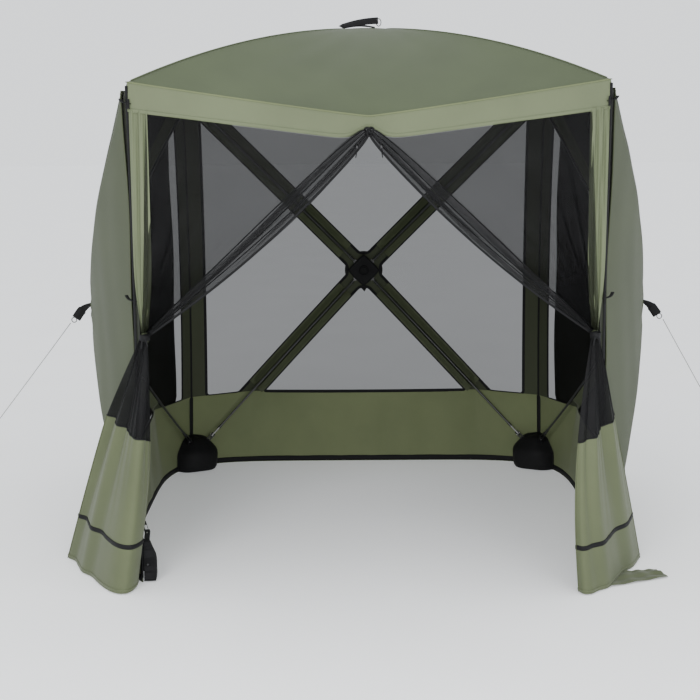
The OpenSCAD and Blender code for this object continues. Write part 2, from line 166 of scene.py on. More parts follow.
class Nodes:
    """A short way to write a material's node tree."""

    def __init__(self, name):
        self.material = bpy.data.materials.new(name)
        self.material.use_nodes = True
        self.tree = self.material.node_tree
        self.shader = self.tree.nodes["Principled BSDF"]
        self.where = self.new("ShaderNodeTexCoord")

    def new(self, kind, **values):
        node = self.tree.nodes.new(kind)
        for key, value in values.items():
            setattr(node, key, value)
        return node

    def link(self, a, b):
        self.tree.links.new(a, b)

    def set(self, **values):
        for key, value in values.items():
            self.shader.inputs[key.replace("_", " ")].default_value = value

    def scaled(self, source, scale):
        node = self.new("ShaderNodeMapping")
        node.inputs["Scale"].default_value = scale
        self.link(self.where.outputs[source], node.inputs["Vector"])
        return node.outputs["Vector"]

    def noise(self, vector, scale, detail=3.0):
        node = self.new("ShaderNodeTexNoise")
        node.inputs["Scale"].default_value = scale
        node.inputs["Detail"].default_value = detail
        self.link(vector, node.inputs["Vector"])
        return node.outputs["Fac"]

    def wave(self, vector, scale, direction, profile="SIN"):
        node = self.new("ShaderNodeTexWave", bands_direction=direction, wave_profile=profile)
        node.inputs["Scale"].default_value = scale
        self.link(vector, node.inputs["Vector"])
        return node.outputs["Fac"]

    def sum(self, a, b, share=0.5):
        node = self.new("ShaderNodeMix", data_type="FLOAT")
        node.inputs["Factor"].default_value = share
        self.link(a, node.inputs["A"])
        self.link(b, node.inputs["B"])
        return node.outputs["Result"]

    def colour(self, factor, stops):
        node = self.new("ShaderNodeValToRGB")
        ramp = node.color_ramp
        ramp.elements[0].position, ramp.elements[0].color = stops[0][0], (*stops[0][1], 1)
        ramp.elements[1].position, ramp.elements[1].color = stops[-1][0], (*stops[-1][1], 1)
        for place, value in stops[1:-1]:
            ramp.elements.new(place).color = (*value, 1)
        self.link(factor, node.inputs["Fac"])
        self.link(node.outputs["Color"], self.shader.inputs["Base Color"])

    def bump(self, height, strength, distance):
        node = self.new("ShaderNodeBump")
        node.inputs["Strength"].default_value = strength
        node.inputs["Distance"].default_value = distance
        self.link(height, node.inputs["Height"])
        self.link(node.outputs["Normal"], self.shader.inputs["Normal"])


def shades(colour, spread):
    return [tuple(c * k for c in colour) for k in (1 - spread, 1 + spread)]


def cloth_material(name, colour, spread=0.12, sheen=0.08, source="UV"):
    """Plain-woven polyester: threads 1.2 mm apart, uneven yarn, and broad soft changes of tone."""
    n = Nodes(name)
    here = n.scaled(source, (1, 1, 1))
    threads = n.sum(n.wave(here, 262, "X"), n.wave(here, 262, "Y"))
    yarn = n.sum(n.noise(n.scaled(source, (30, 900, 30)), 1), n.noise(n.scaled(source, (900, 30, 30)), 1))
    broad = n.noise(n.scaled("Object", (1, 1, 1)), 4.5)
    low, high = shades(colour, spread)
    n.colour(n.sum(yarn, broad, 0.6), [(0.3, low), (0.7, high)])
    n.bump(n.sum(threads, yarn, 0.5), 0.22, 0.0006)
    n.set(Roughness=0.72, Sheen_Weight=sheen, Sheen_Roughness=0.45, Specular_IOR_Level=0.3)
    return n.material


def mesh_material(name, alpha):
    """Fine black insect mesh, seen from further than its holes can be told apart."""
    n = Nodes(name)
    here = n.scaled("UV", (1, 1, 1))
    n.colour(n.noise(here, 6), [(0.3, (0.0012, 0.0012, 0.0014)), (0.7, (0.006, 0.006, 0.0066))])
    n.bump(n.noise(here, 900, 1), 0.08, 0.0002)
    n.set(Roughness=0.6, Alpha=alpha, Specular_IOR_Level=0.1)
    return n.material


def webbing_material(name, colour, source="UV"):
    """Ribbed nylon webbing, its ribs across the strap."""
    n = Nodes(name)
    here = n.scaled(source, (1, 1, 1))
    ribs = n.sum(n.wave(here, 140, "X"), n.wave(here, 300, "DIAGONAL"), 0.35)
    low, high = shades(colour, 0.35)
    n.colour(n.sum(ribs, n.noise(n.scaled(source, (200, 200, 200)), 1), 0.4), [(0.25, low), (0.75, high)])
    n.bump(ribs, 0.5, 0.0008)
    n.set(Roughness=0.7, Specular_IOR_Level=0.2)
    return n.material


def hard_material(name, colour, roughness, metallic=0.0, streak=(60, 60, 60), spread=0.3, depth=0.0003):
    """Moulded or drawn stock: fine grain, uneven gloss and a little wear."""
    n = Nodes(name)
    grain = n.noise(n.scaled("Object", streak), 1, 6)
    low, high = shades(colour, spread)
    n.colour(n.sum(grain, n.noise(n.scaled("Object", (9, 9, 9)), 1)), [(0.3, low), (0.7, high)])
    n.bump(grain, 0.25, depth)
    n.set(Roughness=roughness, Metallic=metallic)
    return n.material


def cord_material(name, colour):
    """Braided cord: two crossing sets of strands."""
    n = Nodes(name)
    strands = [n.wave(n.scaled("UV", (lean, 1, 1)), 90, "DIAGONAL") for lean in (1, -1)]
    braid = n.sum(*strands)
    low, high = shades(colour, 0.4)
    n.colour(braid, [(0.3, low), (0.7, high)])
    n.bump(braid, 0.6, 0.0006)
    n.set(Roughness=0.7)
    return n.material


SAGE = cloth_material("sage_cloth", (0.055, 0.071, 0.033))
# painted shade: a darker, yellower copy of the sage cloth for the wind panels, which stand side-on to the
# light
SHADED_PANEL_CLOTH = cloth_material("painted_shade_panel_cloth", (0.041, 0.05, 0.024), sheen=0.02)
# the valance and jamb cloth is paler than the roof's sage cloth: partly its own colour, partly painted
# light for front faces turned to the lamps while the roof tilts away
PALE_AND_LIT_CLOTH = cloth_material("light_cloth", (0.092, 0.11, 0.059))
# painted shade: a darker copy of the light cloth for the curtain skirts, their hems and the corner on the
# ground
SHADED_SKIRT_CLOTH = cloth_material("painted_shade_skirt_cloth", (0.07, 0.083, 0.041))
OLIVE = cloth_material("olive_cloth", (0.098, 0.117, 0.054))
# painted shade: the olive cloth made far darker for the wall sheets, standing in for the dim inside of the
# walls
WALL_SHADE_CLOTH = cloth_material("painted_shade_wall_cloth", (0.022, 0.027, 0.012))
SHADE = cloth_material("shaded_olive_cloth", (0.036, 0.044, 0.02))
MESH = mesh_material("black_mesh", 0.82)
SCREEN = mesh_material("screen_mesh", 0.6)
GATHERED = mesh_material("gathered_mesh", 0.7)
DENSE = mesh_material("dense_mesh", 0.93)
WEBBING = webbing_material("black_webbing", (0.0035, 0.0035, 0.004))
PLASTIC = hard_material("black_plastic", (0.006, 0.006, 0.007), 0.42, streak=(350, 350, 350))
FIBREGLASS = hard_material("fibreglass", (0.006, 0.0065, 0.006), 0.3, streak=(40, 40, 40))
STEEL = hard_material("steel", (0.55, 0.55, 0.56), 0.3, metallic=1.0, streak=(500, 30, 500), spread=0.12)
PEG_STEEL = hard_material("peg_steel", (0.12, 0.12, 0.125), 0.45, metallic=0.6, streak=(200, 200, 200))
CORD = cord_material("grey_cord", (0.25, 0.25, 0.24))
SLOTS = {
    "sage_cloth": SAGE, "light_cloth": PALE_AND_LIT_CLOTH, "olive_cloth": OLIVE, "black_mesh": MESH,
    "black_webbing": WEBBING, "black_plastic": PLASTIC, "fibreglass": FIBREGLASS, "steel": STEEL,
    "peg_steel": PEG_STEEL, "grey_cord": CORD,
}
CAD_WEBBING = webbing_material("solid_webbing", (0.0035, 0.0035, 0.004), source="Object")


# ---- mesh building

class Shape:
    """Grids, tapes and tubes gathered into one mesh, with UVs in metres."""

    def __init__(self):
        self.points, self.faces, self.uvs, self.count = [], [], [], 0

    def add(self, points, faces, uvs):
        self.points.append(np.asarray(points, float).reshape(-1, 3))
        self.uvs.append(np.asarray(uvs, float).reshape(-1, 2))
        self.faces += [tuple(i + self.count for i in f) for f in faces]
        self.count += len(self.points[-1])

    def grid(self, points, closed=False):
        """points[i, j] is row i, column j; closed joins the last column to the first."""
        n, m = points.shape[:2]
        down = np.linalg.norm(np.diff(points, axis=0), axis=2).mean(1)
        across = np.linalg.norm(np.diff(points, axis=1), axis=2).mean(0)
        row_at = np.concatenate([[0], np.cumsum(down)])
        column_at = np.concatenate([[0], np.cumsum(across)])
        uvs = np.stack(np.meshgrid(column_at, row_at), axis=2)
        columns = m if closed else m - 1
        faces = [
            (i * m + j, i * m + (j + 1) % m, (i + 1) * m + (j + 1) % m, (i + 1) * m + j)
            for i in range(n - 1) for j in range(columns)
        ]
        self.add(points, faces, uvs)

    def sweep(self, path, normals, section, closed=False, scale=1.0):
        """Carries a closed section of (side, up) pairs along a path, with up along the normals."""
        path = np.asarray(path, float)
        n, m = len(path), len(section)
        ahead = np.roll(path, -1, 0) - np.roll(path, 1, 0)
        if not closed:
            ahead[0], ahead[-1] = path[1] - path[0], path[-1] - path[-2]
        ahead = unit(ahead)
        normals = np.broadcast_to(np.asarray(normals, float), path.shape)
        normals = unit(normals - ahead * (normals * ahead).sum(1, keepdims=True))
        side = np.cross(ahead, normals)
        section = np.asarray(section, float)
        wide = (scale + np.zeros(n))[:, None, None] * section[None, :, :1]
        points = path[:, None] + wide * side[:, None] + section[None, :, 1:] * normals[:, None]
        along = np.concatenate([[0], np.cumsum(np.linalg.norm(np.diff(path, axis=0), axis=1))])
        around = np.concatenate([[0], np.cumsum(np.linalg.norm(np.diff(section, axis=0), axis=1))])
        uvs = np.stack(np.meshgrid(around, along), axis=2)[:, :, ::-1]
        last = n if closed else n - 1
        faces = [
            (i * m + j, (i + 1) % n * m + j, (i + 1) % n * m + (j + 1) % m, i * m + (j + 1) % m)
            for i in range(last) for j in range(m)
        ]
        if not closed:
            faces += [tuple(range(m)), tuple(range(n * m - 1, (n - 1) * m - 1, -1))]
        self.add(points, faces, uvs)

    def tape(self, path, normals, width, thick=0.0016, closed=False, scale=1.0):
        """A flat woven tape with softened edges."""
        w, h = width / 2, thick / 2
        half = [(-w, 0), (-w * 0.9, h), (0, h * 1.3), (w * 0.9, h)]
        self.sweep(path, normals, half + [(-x, -y) for x, y in half], closed, scale)

    def tube(self, path, radius, sides=10, closed=False, normals=(0, 1, 0)):
        angles = [TAU * k / sides for k in range(sides)]
        self.sweep(path, normals, [(radius * math.sin(a), radius * math.cos(a)) for a in angles], closed)

    def build(self, name, material, slot, body="root"):
        mesh = bpy.data.meshes.new(name)
        mesh.from_pydata(np.concatenate(self.points).tolist(), [], self.faces)
        corner = np.empty(len(mesh.loops), np.int32)
        mesh.loops.foreach_get("vertex_index", corner)
        mesh.uv_layers.new(name="metres").data.foreach_set("uv", np.concatenate(self.uvs)[corner].ravel())
        mesh.shade_smooth()
        mesh.materials.append(material)
        mesh.update()
        obj = bpy.data.objects.new(name, mesh)
        bpy.context.scene.collection.objects.link(obj)
        if body is not None:
            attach(obj, body)
        return obj


def grid_piece(points, name, material, slot, closed=False):
    shape = Shape()
    shape.grid(points, closed)
    return shape.build(name, material, slot)


def unit(v):
    return v / np.maximum(np.linalg.norm(v, axis=-1, keepdims=True), 1e-12)


def down_steps(count, start=0, end=1):
    return linspace(start, end, count)[:, None]


def across_steps(count, start=0, end=1):
    return linspace(start, end, count)[None]


def circle(count):
    """Angles evenly apart round a full turn."""
    return linspace(0, TAU, count + 1)[:-1]


def smooth(x):
    x = np.clip(x, 0, 1)
    return x * x * (3 - 2 * x)


def resampled(points, count):
    """A line through the points, rounded at its corners, as count points evenly apart."""
    line = np.asarray(points, float)
    for _ in range(3):
        mids = [line[:-1] * 0.75 + line[1:] * 0.25, line[:-1] * 0.25 + line[1:] * 0.75]
        line = np.concatenate([line[:1], np.stack(mids, axis=1).reshape(-1, line.shape[1]), line[-1:]])
    along = np.concatenate([[0], np.cumsum(np.linalg.norm(np.diff(line, axis=0), axis=1))])
    at = linspace(0, along[-1], count)
    return np.stack([np.interp(at, along, line[:, k]) for k in range(line.shape[1])], axis=1)


def world(*columns):
    return np.stack(np.broadcast_arrays(*columns), axis=-1)


# ---- guy lines, held taut between strap and peg

def line_path(sx):
    reach = RIGHT_REACH if sx > 0 else 1
    return np.array([
        (sx * (LINE_START[0] + LINE_STEP * i * reach), CY, z) for i, z in enumerate(LINE_HEIGHTS)
    ])


def guy_line(sx, side):
    path = line_path(sx)
    shape = Shape()
    shape.tube(path, CORD_R, sides=8)
    cord = shape.build(f"{side}_guy_cord", CORD, "grey_cord", body=None)
    length = float(np.linalg.norm(np.diff(path, axis=0), axis=1).sum())
    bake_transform(cord)
    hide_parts(f"{side}_guy_line")


guy_line(-1, "left")
guy_line(1, "right")


# ---- the cloth surface of a hub wall

def profile(t, rise, bow):
    """Height of a ridge over the corner plane, at share t of the way from the hub to the corner."""
    t = np.clip(t, HUB_T, 1)
    return rise * (1 - t) + 4 * bow * t * (1 - t)


def foot_arch(u):
    return FOOT_BOW * (1 - np.abs(u) ** 6)


def wall_point(name, u, v, lift=0.0, sag=0.02, creases=0.0):
    """A point of a wall's cloth at shares u and v of its half width and height, from its hub."""
    origin, along, out = (np.array(a, float) for a in WALLS[name])
    u, v = np.broadcast_arrays(np.asarray(u, float), np.asarray(v, float))
    t = np.maximum(np.abs(u), np.abs(v))
    across = np.minimum(np.abs(u), np.abs(v)) / np.maximum(t, 1e-6)
    tau = np.clip((t - HUB_T) / (1 - HUB_T), 0, 1)
    edge_pull = 0.014 * (1 - np.clip(v, -1, 1) ** 2) * np.abs(u) ** 3
    height = profile(t, WALL_RISE, WALL_BOW) - sag * sin(pi * tau) * (1 - across ** 2) - edge_pull
    # below the windows the cloth leaves the poles and hangs as a bulged band
    up = np.clip((v * HALF_H + MID_H) / BAND_H, 0, 1)
    top = profile(np.maximum(np.abs(u), BAND_T), WALL_RISE, WALL_BOW)
    top = top - sag * sin(pi * tau) * (1 - np.clip(np.abs(u) / BAND_T, 0, 1) ** 2) * up
    height = np.where(v < -BAND_T, foot_arch(u) * (1 - up) + top * up, height)
    height = height + creases * fine_creases(u, v, tau) + lift
    x = HALF * u - np.sign(u) * edge_pull
    z = HALF_H * v + TOP_LIFT * smooth((v - 0.8) / 0.2)
    return origin + x[..., None] * along + z[..., None] * np.array((0, 0, 1.0)) + height[..., None] * out


def fine_creases(u, v, tau):
    """Soft tension creases that fan out from the hub and run down the cloth."""
    angle = np.arctan2(v, u)
    fan = sin(9 * angle + 2.1 * sin(3 * angle)) * exp(-5 * tau)
    fall = sin(23 * u + 2 * sin(4 * v)) * sin(pi * tau) * 0.7
    slack = sin(11 * u + 7 * v) * sin(pi * tau) * 0.5
    return fan + fall + slack


def wall_normal(name, u, v, **kw):
    e = 0.004
    du = wall_point(name, u + e, v, **kw) - wall_point(name, u - e, v, **kw)
    dv = wall_point(name, u, v + e, **kw) - wall_point(name, u, v - e, **kw)
    return unit(np.cross(du, dv))


def in_sector(k, t, s):
    """Shares (u, v) at t from the hub and s across; sector k is above, left, below or right of it."""
    return [(s, t), (-t, s), (s, -t), (t, s)][k]


def sector_grid(name, k, ts, low=-9.0, across=33, **kw):
    ts = np.asarray(ts)[:, None]
    share = across_steps(across)
    left = np.maximum(-(ts - STRIP), low)
    s = left + (ts - STRIP - left) * share
    u, v = in_sector(k, ts + 0 * s, s)
    return wall_point(name, u, v, **kw)


def steps(a, b, n, *also):
    return np.unique(np.concatenate([linspace(a, b, n), [x for x in also if a < x < b]]))


def squash_with(obj, wall):
    """Gives a wall's or the roof's cloth a mesh of its own."""
    if wall == "roof":
        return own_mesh(obj)
    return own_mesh(obj)


def wall_sheet(name):
    """The solid cloth of a wall: crossed strips, borders and hub square."""
    shape = Shape()
    core = linspace(-WINDOW_T, WINDOW_T, 7)
    shape.grid(wall_point(name, *np.meshgrid(core, core)))
    for su in (-1, 1):
        for sv in (-1, 1):
            ts = steps(WINDOW_T, 1 if sv > 0 else BAND_T, 44, HUB_T)[:, None]
            j = across_steps(7, -1, 1)
            u, v = ts - STRIP * np.maximum(-j, 0), ts - STRIP * np.maximum(j, 0)
            if sv < 0:  # the strip's end is cut level with the band
                cut = np.clip((ts - WINDOW_T) / (BAND_T - WINDOW_T), 0, 1) ** 8
                u, v = u + STRIP * np.maximum(j, 0) * cut, v + STRIP * np.maximum(j, 0) * cut
            shape.grid(wall_point(name, su * u, sv * v))
    for k in (0, 1, 3):
        shape.grid(sector_grid(name, k, steps(BORDER_T, 1, 6), low=-BAND_T if k else -9.0, across=61))
    # the wall sheet wears the darkened olive cloth, painted shade for the dim inside of the shelter
    cloth = shape.build(f"{name}_wall_sheet", WALL_SHADE_CLOTH, "olive_cloth")
    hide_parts(f"{name}_wall_cloth")
    squash_with(cloth, name)


def foot_band(name):
    """The bulged band round the foot of a wall, with soft vertical slack between its seams."""
    u = across_steps(121, -1, 1)
    up = down_steps(15, 1, 0)
    v = (up * BAND_H - MID_H) / HALF_H
    slack = 0.0035 * sin(26 * u + 1.5 * sin(5 * u)) * (1 - np.abs(u) ** 4) * sin(pi * up)
    points = wall_point(name, u + 0 * v, v + 0 * u, lift=slack)
    band = grid_piece(points, f"{name}_foot_band", OLIVE, "olive_cloth")
    squash_with(band, name)


def windows(name):
    shape = Shape()
    for k in range(4):
        end = BAND_T if k == 2 else BORDER_T
        low = -BAND_T if k in (1, 3) else -9.0
        shape.grid(sector_grid(name, k, steps(WINDOW_T, end, 30, HUB_T, BAND_T + STRIP), low=low))
    mesh = shape.build(f"{name}_window_mesh", MESH, "black_mesh")
    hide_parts("window_meshes")
    squash_with(mesh, name)


def window_outline(k):
    """The corners of a window in shares (u, v), in order round it."""
    a, b, c = WINDOW_T, BORDER_T, STRIP
    if k in (0, 2):
        s = 1 if k == 0 else -1
        b = BORDER_T if k == 0 else BAND_T
        return [(-(a - c), s * a), (a - c, s * a), (b - c, s * b), (-(b - c), s * b)]
    s = 1 if k == 3 else -1
    return [
        (s * a, -(a - c)), (s * (BAND_T + c), -BAND_T), (s * b, -BAND_T), (s * b, b - c), (s * a, a - c)
    ]


def rounded_loop(corners, radius=0.02, per_edge=26):
    """A closed outline with rounded corners."""
    corners = np.array(corners, float)
    points = []
    for i in range(len(corners)):
        before, here, after = corners[i - 1], corners[i], corners[(i + 1) % len(corners)]
        a = here + (before - here) / np.linalg.norm(before - here) * radius
        b = here + (after - here) / np.linalg.norm(after - here) * radius
        for w in linspace(0, 1, 5):
            points.append((1 - w) ** 2 * a + 2 * w * (1 - w) * here + w ** 2 * b)
        c = after + (here - after) / np.linalg.norm(here - after) * radius
        points += [b + (c - b) * w for w in linspace(0, 1, per_edge)[1:-1]]
    return np.array(points)


def bindings(name):
    """Black tape round each window, along the band's top and along the foot."""
    shape = Shape()
    for k in range(4):
        u, v = rounded_loop(window_outline(k), 0.018).T
        shape.tape(wall_point(name, u, v), wall_normal(name, u, v), 0.013, closed=True)
    u = linspace(-0.995, 0.995, 90)
    foot_v = np.full_like(u, (0.014 - MID_H) / HALF_H)
    shape.tape(wall_point(name, u, foot_v), wall_normal(name, u, foot_v), 0.024, 0.0024)
    band_v = np.full_like(u, -BAND_T - 0.004)
    shape.tape(wall_point(name, u, band_v), wall_normal(name, u, band_v - 0.01), 0.009)
    trim = shape.build(f"{name}_wall_bindings", WEBBING, "black_webbing")
    squash_with(trim, name)


# ---- sleeves over the poles

def pole_height(s, rise, bow, length):
    """Height over the corner plane of a pole's middle line, at distance s from the hub's middle."""
    top = float(profile(HUB_T, rise, bow)) - 0.008
    tau = np.clip((s - HUB_PIN_S) / (length - CORNER_PIN_S - HUB_PIN_S), 0, 1)
    return top + (-CORNER_DEPTH - top) * tau + 4 * POLE_BOW * tau * (1 - tau)


def pole_sleeves(name):
    """Two flaps along each pole, from the strip's edges in to the pole, which shows between them."""
    length = math.hypot(HALF, HALF_H)
    shape = Shape()
    for su in (-1, 1):
        for sv in (-1, 1):
            end = length * (0.9 if sv > 0 else BAND_T) - 0.03
            s = down_steps(70, 0.125, end)
            for flap in (-1, 1):
                f = across_steps(7)
                t = s / length
                edge = STRIP * (1 - f) + 0.009 / (STRIP_W / 2) * STRIP * f
                u = t - edge * (flap < 0) * 0.5 + edge * (flap > 0) * 0.5
                v = t - edge * (flap > 0) * 0.5 + edge * (flap < 0) * 0.5
                taper = smooth((s - 0.12) / 0.05) * smooth((end + 0.005 - s) / 0.05)
                inner = pole_height(s, WALL_RISE, WALL_BOW, length) + 0.002
                points = wall_point(name, su * u, sv * v, lift=-0.0015)
                outward = np.array(WALLS[name][2], float)
                height = ((points - np.array(WALLS[name][0])) @ outward)
                ripple = 0.0016 * sin(95 * s + 3 * flap) * sin(pi * f)
                wanted = height + (inner - height) * smooth(f) * taper + ripple
                shape.grid(points + (wanted - height)[..., None] * outward)
    sleeves = shape.build(f"{name}_pole_sleeves", SHADE, "olive_cloth")
    squash_with(sleeves, name)


for wall in WALLS:
    wall_sheet(wall)
    foot_band(wall)
    windows(wall)
    bindings(wall)
    pole_sleeves(wall)


# ---- wind panels over the side walls' windows

def panel_outline(rear, count):
    """Points round the panel's edge in shares (u, v), with a slit left open at its rear edge."""
    w, low = PANEL_T, -BAND_T - 0.012
    near, far = (w, -SLIT_T) if rear < 0 else (SLIT_T, -w)
    corners = [
        (near, near), (near, w), (far, w), (far, -far), (far, low), (low, low), (-low, low), (near, low)
    ]
    points = []
    for a, b in zip(corners, corners[1:] + corners[:1]):
        n = max(2, int(count * math.dist(a, b)))
        points += [(a[0] + (b[0] - a[0]) * k / n, a[1] + (b[1] - a[1]) * k / n) for k in range(n)]
    return np.array(points)


def wind_panel(name):
    edge = panel_outline(-1 if name == "left" else 1, 26)
    angle = np.arctan2(edge[:, 1] * HALF_H, edge[:, 0] * HALF)
    hole = np.stack([cos(angle) * HOLE_R / HALF, sin(angle) * HOLE_R / HALF_H], axis=1)
    shares = linspace(0, 1, 46)[:, None, None]
    uv = hole[None] + (edge - hole)[None] * shares
    scallop = 0.006 * sin(linspace(0, 9 * math.pi, len(edge))) ** 2
    lift = PANEL_LIFT - scallop[None] * shares[..., 0] ** 6
    points = wall_point(name, uv[..., 0], uv[..., 1], lift=lift, sag=0.008, creases=0.0014)
    # the wind panel wears the darkened copy of the sage cloth, painted shade
    panel = grid_piece(points, f"{name}_wind_sheet", SHADED_PANEL_CLOTH, "sage_cloth", closed=True)
    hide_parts(f"{name}_wind_panel")
    squash_with(panel, name)
    hems = Shape()
    for row, width in ((0, 0.012), (-1, 0.016)):
        path = points[row]
        hems.tape(path, np.array(WALLS[name][2], float), width, 0.003, closed=True)
    # the hems share the panel's painted shade
    hem = hems.build(f"{name}_wind_sheet_hem", SHADED_PANEL_CLOTH, "sage_cloth")
    squash_with(hem, name)


wind_panel("left")
wind_panel("right")


# ---- roof

def roof_point(side, t, q, lift=0.0):
    """A point of the roof, at t from hub to edge and q (-1 to 1) across.

    Sides 0 to 3 are the front, right, back and left.
    """
    tau = np.clip((t - HUB_T) / (1 - HUB_T), 0, 1)
    if side == 0:
        dip, power = SEAM_DIP * tau ** 1.3, 2 - (2 - SEAM_POWER) * tau ** 2
    else:
        dip, power = 0.008 * tau, 2.0
    sag = dip + 0.018 * sin(pi * tau)
    height = profile(t, CLOTH_RISE, ROOF_BOW) - sag * (1 - np.abs(q) ** power)
    height = height + 0.0012 * sin(17 * q + 5 * t + side) * sin(pi * tau) * (1 - q ** 2)
    across, out = t * q * HALF, t * HALF
    x, y = [(across, -out), (out, across), (-across, out), (-out, -across)][side]
    return world(x + 0 * height, CY + y + 0 * height, TOP_H + height + lift)


def level_share(q):
    """How far out the front facet still lies above the corners' level, at share q of its width."""
    t = down_steps(400, 0.4, 1)
    above = roof_point(0, t, q[None])[..., 2] >= TOP_H - 1e-9
    return np.where(above, t, 0).max(0)


def roof():
    q = linspace(-1, 1, 61)
    level = level_share(q)
    share = np.concatenate([[0.04, 0.08], linspace(HUB_T, 1, 52)])[:, None]
    parts = []
    for side in range(4):
        end = level if side == 0 else np.ones_like(q)
        t = np.where(share <= HUB_T, share, HUB_T + (share - HUB_T) / (1 - HUB_T) * (end - HUB_T))
        parts.append(roof_point(side, t, q[None])[:, :-1])
    points = np.concatenate(parts, axis=1)
    shape = Shape()
    shape.grid(points, closed=True)
    shape.faces.append(tuple(range(points.shape[1])))
    sheet = shape.build("roof_sheet", SAGE, "sage_cloth")
    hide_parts("roof_cloth")
    squash_with(sheet, "roof")

    fall = down_steps(9)
    t = level[None] + (1 - level[None]) * fall
    lip = grid_piece(roof_point(0, t, q[None]), "roof_front_lip", SAGE, "sage_cloth")


def roof_seams():
    """Felled seams over the four ridges, and a rolled hem along the sides and back."""
    shape = Shape()
    for side in range(4):
        t = linspace(0.1, 0.985, 70)
        shape.tape(roof_point(side, t, np.ones_like(t)), (0, 0, 1), 0.009, 0.003)
    for side in (1, 2, 3):
        q = linspace(-0.99, 0.99, 60)
        shape.tape(roof_point(side, np.ones_like(q), q, lift=0.0004), (0, 0, 1), 0.014, 0.003)
    seams = shape.build("roof_seams", SAGE, "sage_cloth")
    squash_with(seams, "roof")


roof()
roof_seams()


# ---- the front: valance, jambs and curtains

def seam_height(x):
    q = np.abs(x) / HALF
    return TOP_H - SEAM_DIP * (1 - q ** SEAM_POWER)


def valance_height(x):
    return VALANCE_MID + (VALANCE_LOW - VALANCE_MID) * np.abs(x) / HALF


def notch(x):
    """How far the knot draws up the valance's lower edge."""
    return 0.047 * exp(-np.abs(x / 0.045) ** 1.5)


def valance():
    x = across_steps(141, -HALF, HALF)
    down = down_steps(11)
    z = seam_height(x) + (valance_height(x) + notch(x) - seam_height(x)) * down
    wave = 0.0022 * sin(31 * x + 3 * sin(4 * x)) * down ** 1.5 + 0.004 * down
    points = world(x + 0 * z, FRONT_Y - 0.0015 - wave, z)
    # the valance's pale cloth is partly painted light for its face turned to the front lamps
    sheet = grid_piece(points, "front_valance_sheet", PALE_AND_LIT_CLOTH, "light_cloth")
    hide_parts("front_valance")
    line = linspace(-HALF + 0.004, HALF - 0.004, 120)
    hem = Shape()
    y = FRONT_Y - 0.0058 - 0.0022 * sin(31 * line + 3 * sin(4 * line))
    hem.tape(world(line, y, valance_height(line) + notch(line) + 0.006), (0, -1, 0), 0.013, 0.0022)
    hem.build("front_valance_hem", PALE_AND_LIT_CLOTH, "light_cloth")
    seam = Shape()
    seam_y = np.full_like(line, FRONT_Y - 0.0025)
    seam.tape(world(line, seam_y, seam_height(line)), (0, -1, 0), 0.006, 0.003)
    seam.build("front_valance_seam", OLIVE, "olive_cloth")


def jamb(sx, side):
    """The gathered strip of cloth at a front corner, in upright folds."""
    x = across_steps(61)
    z = down_steps(70)
    low = TIE_H - 0.012
    pinch = exp(-(z / 0.2) ** 2)
    fold = sin(TAU * (2.4 * x + 0.3 * sin(3 * z + sx))) + 0.3 * sin(TAU * (5.1 * x + z))
    y = FRONT_Y - 0.002 - 0.0045 * (1 + fold * (1 - 0.5 * pinch))
    centre, width = HALF - 0.034, JAMB_W * (1 - 0.65 * pinch)
    points = world(sx * (centre + (x - 0.5) * width), y, low + z * (VALANCE_LOW + 0.004 - low))
    # the jamb's pale cloth is partly painted light for its face turned to the front lamps
    sheet = grid_piece(points, f"{side}_jamb", PALE_AND_LIT_CLOTH, "light_cloth")
    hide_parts("front_jambs")


def fold_wave(phase, sharp=0.35):
    """Rounded folds that lean a little to one side."""
    return sin(phase + sharp * sin(phase))


def curtain_fan(sx, side):
    """The mesh swept back from the valance to its tie, with its free edge gathered in pleats."""
    seed = 0.0 if sx > 0 else 1.7
    down = down_steps(70)
    shape = Shape()
    # the sheer part, from the jamb to the knot
    a = across_steps(181)
    top_x = HALF - 0.06 - (HALF - 0.075) * a
    top_z = valance_height(top_x) + notch(top_x) - 0.002
    x = top_x + (TIE_X + 0.012 - 0.022 * a - top_x) * down
    sag = 0.02 * sin(pi * down) * a ** 2
    z = top_z + (TIE_H + 0.02 + 0.004 * a - top_z) * down - sag
    deep = 0.001 + 0.009 * down ** 1.4
    phase = TAU * (9 * a ** 1.3 + 0.35 * sin(5 * a + seed) + 0.25 * down) + seed
    y = FRONT_Y - 0.008 - deep * (1 + fold_wave(phase))
    shape.grid(world(sx * (x - 0.4 * sag), y, z))
    # the free edge, gathered in pleats that overlap along the diagonal
    pleats, tapes = Shape(), Shape()
    b = across_steps(9, -0.5, 0.5)
    for k in range(PLEATS):
        middle = (k / (PLEATS - 1) - 0.5) * 0.8 + 0.12 * sin(5 * down + 2 * k + seed)
        share = middle + b * 0.46 * (1 + 0.3 * sin(7 * down + 3 * k))
        pleats.grid(on_gathered_edge(sx, down, share, 0.004 * k))
    for share, width in ((-0.62, 0.008), (-0.2, 0.004), (0.12, 0.004), (0.6, 0.0045)):
        line = on_gathered_edge(sx, down, share + 0.06 * sin(5 * down + 9 * share), 0.002)[:, 0]
        tapes.tape(line, (0, -1, 0), width, 0.002)
    tapes.build(f"{side}_curtain_zip_tapes", WEBBING, "black_webbing")
    return shape, pleats


def on_gathered_edge(sx, down, share, layer):
    """A point of the gathered edge: down from knot to tie, share across it, layer towards the front."""
    width = 0.012 + 0.042 * sin(pi * down ** 0.6) ** 0.8
    x = 0.006 + (TIE_X - 0.016) * down + 0.66 * share * width
    z = KNOT_H + (TIE_H + 0.02 - KNOT_H) * down + 0.75 * share * width - EDGE_SAG * sin(pi * down)
    y = FRONT_Y - 0.012 - layer - 0.002 * sin(14 * down + 5 * share)
    return world(sx * x, y, z)


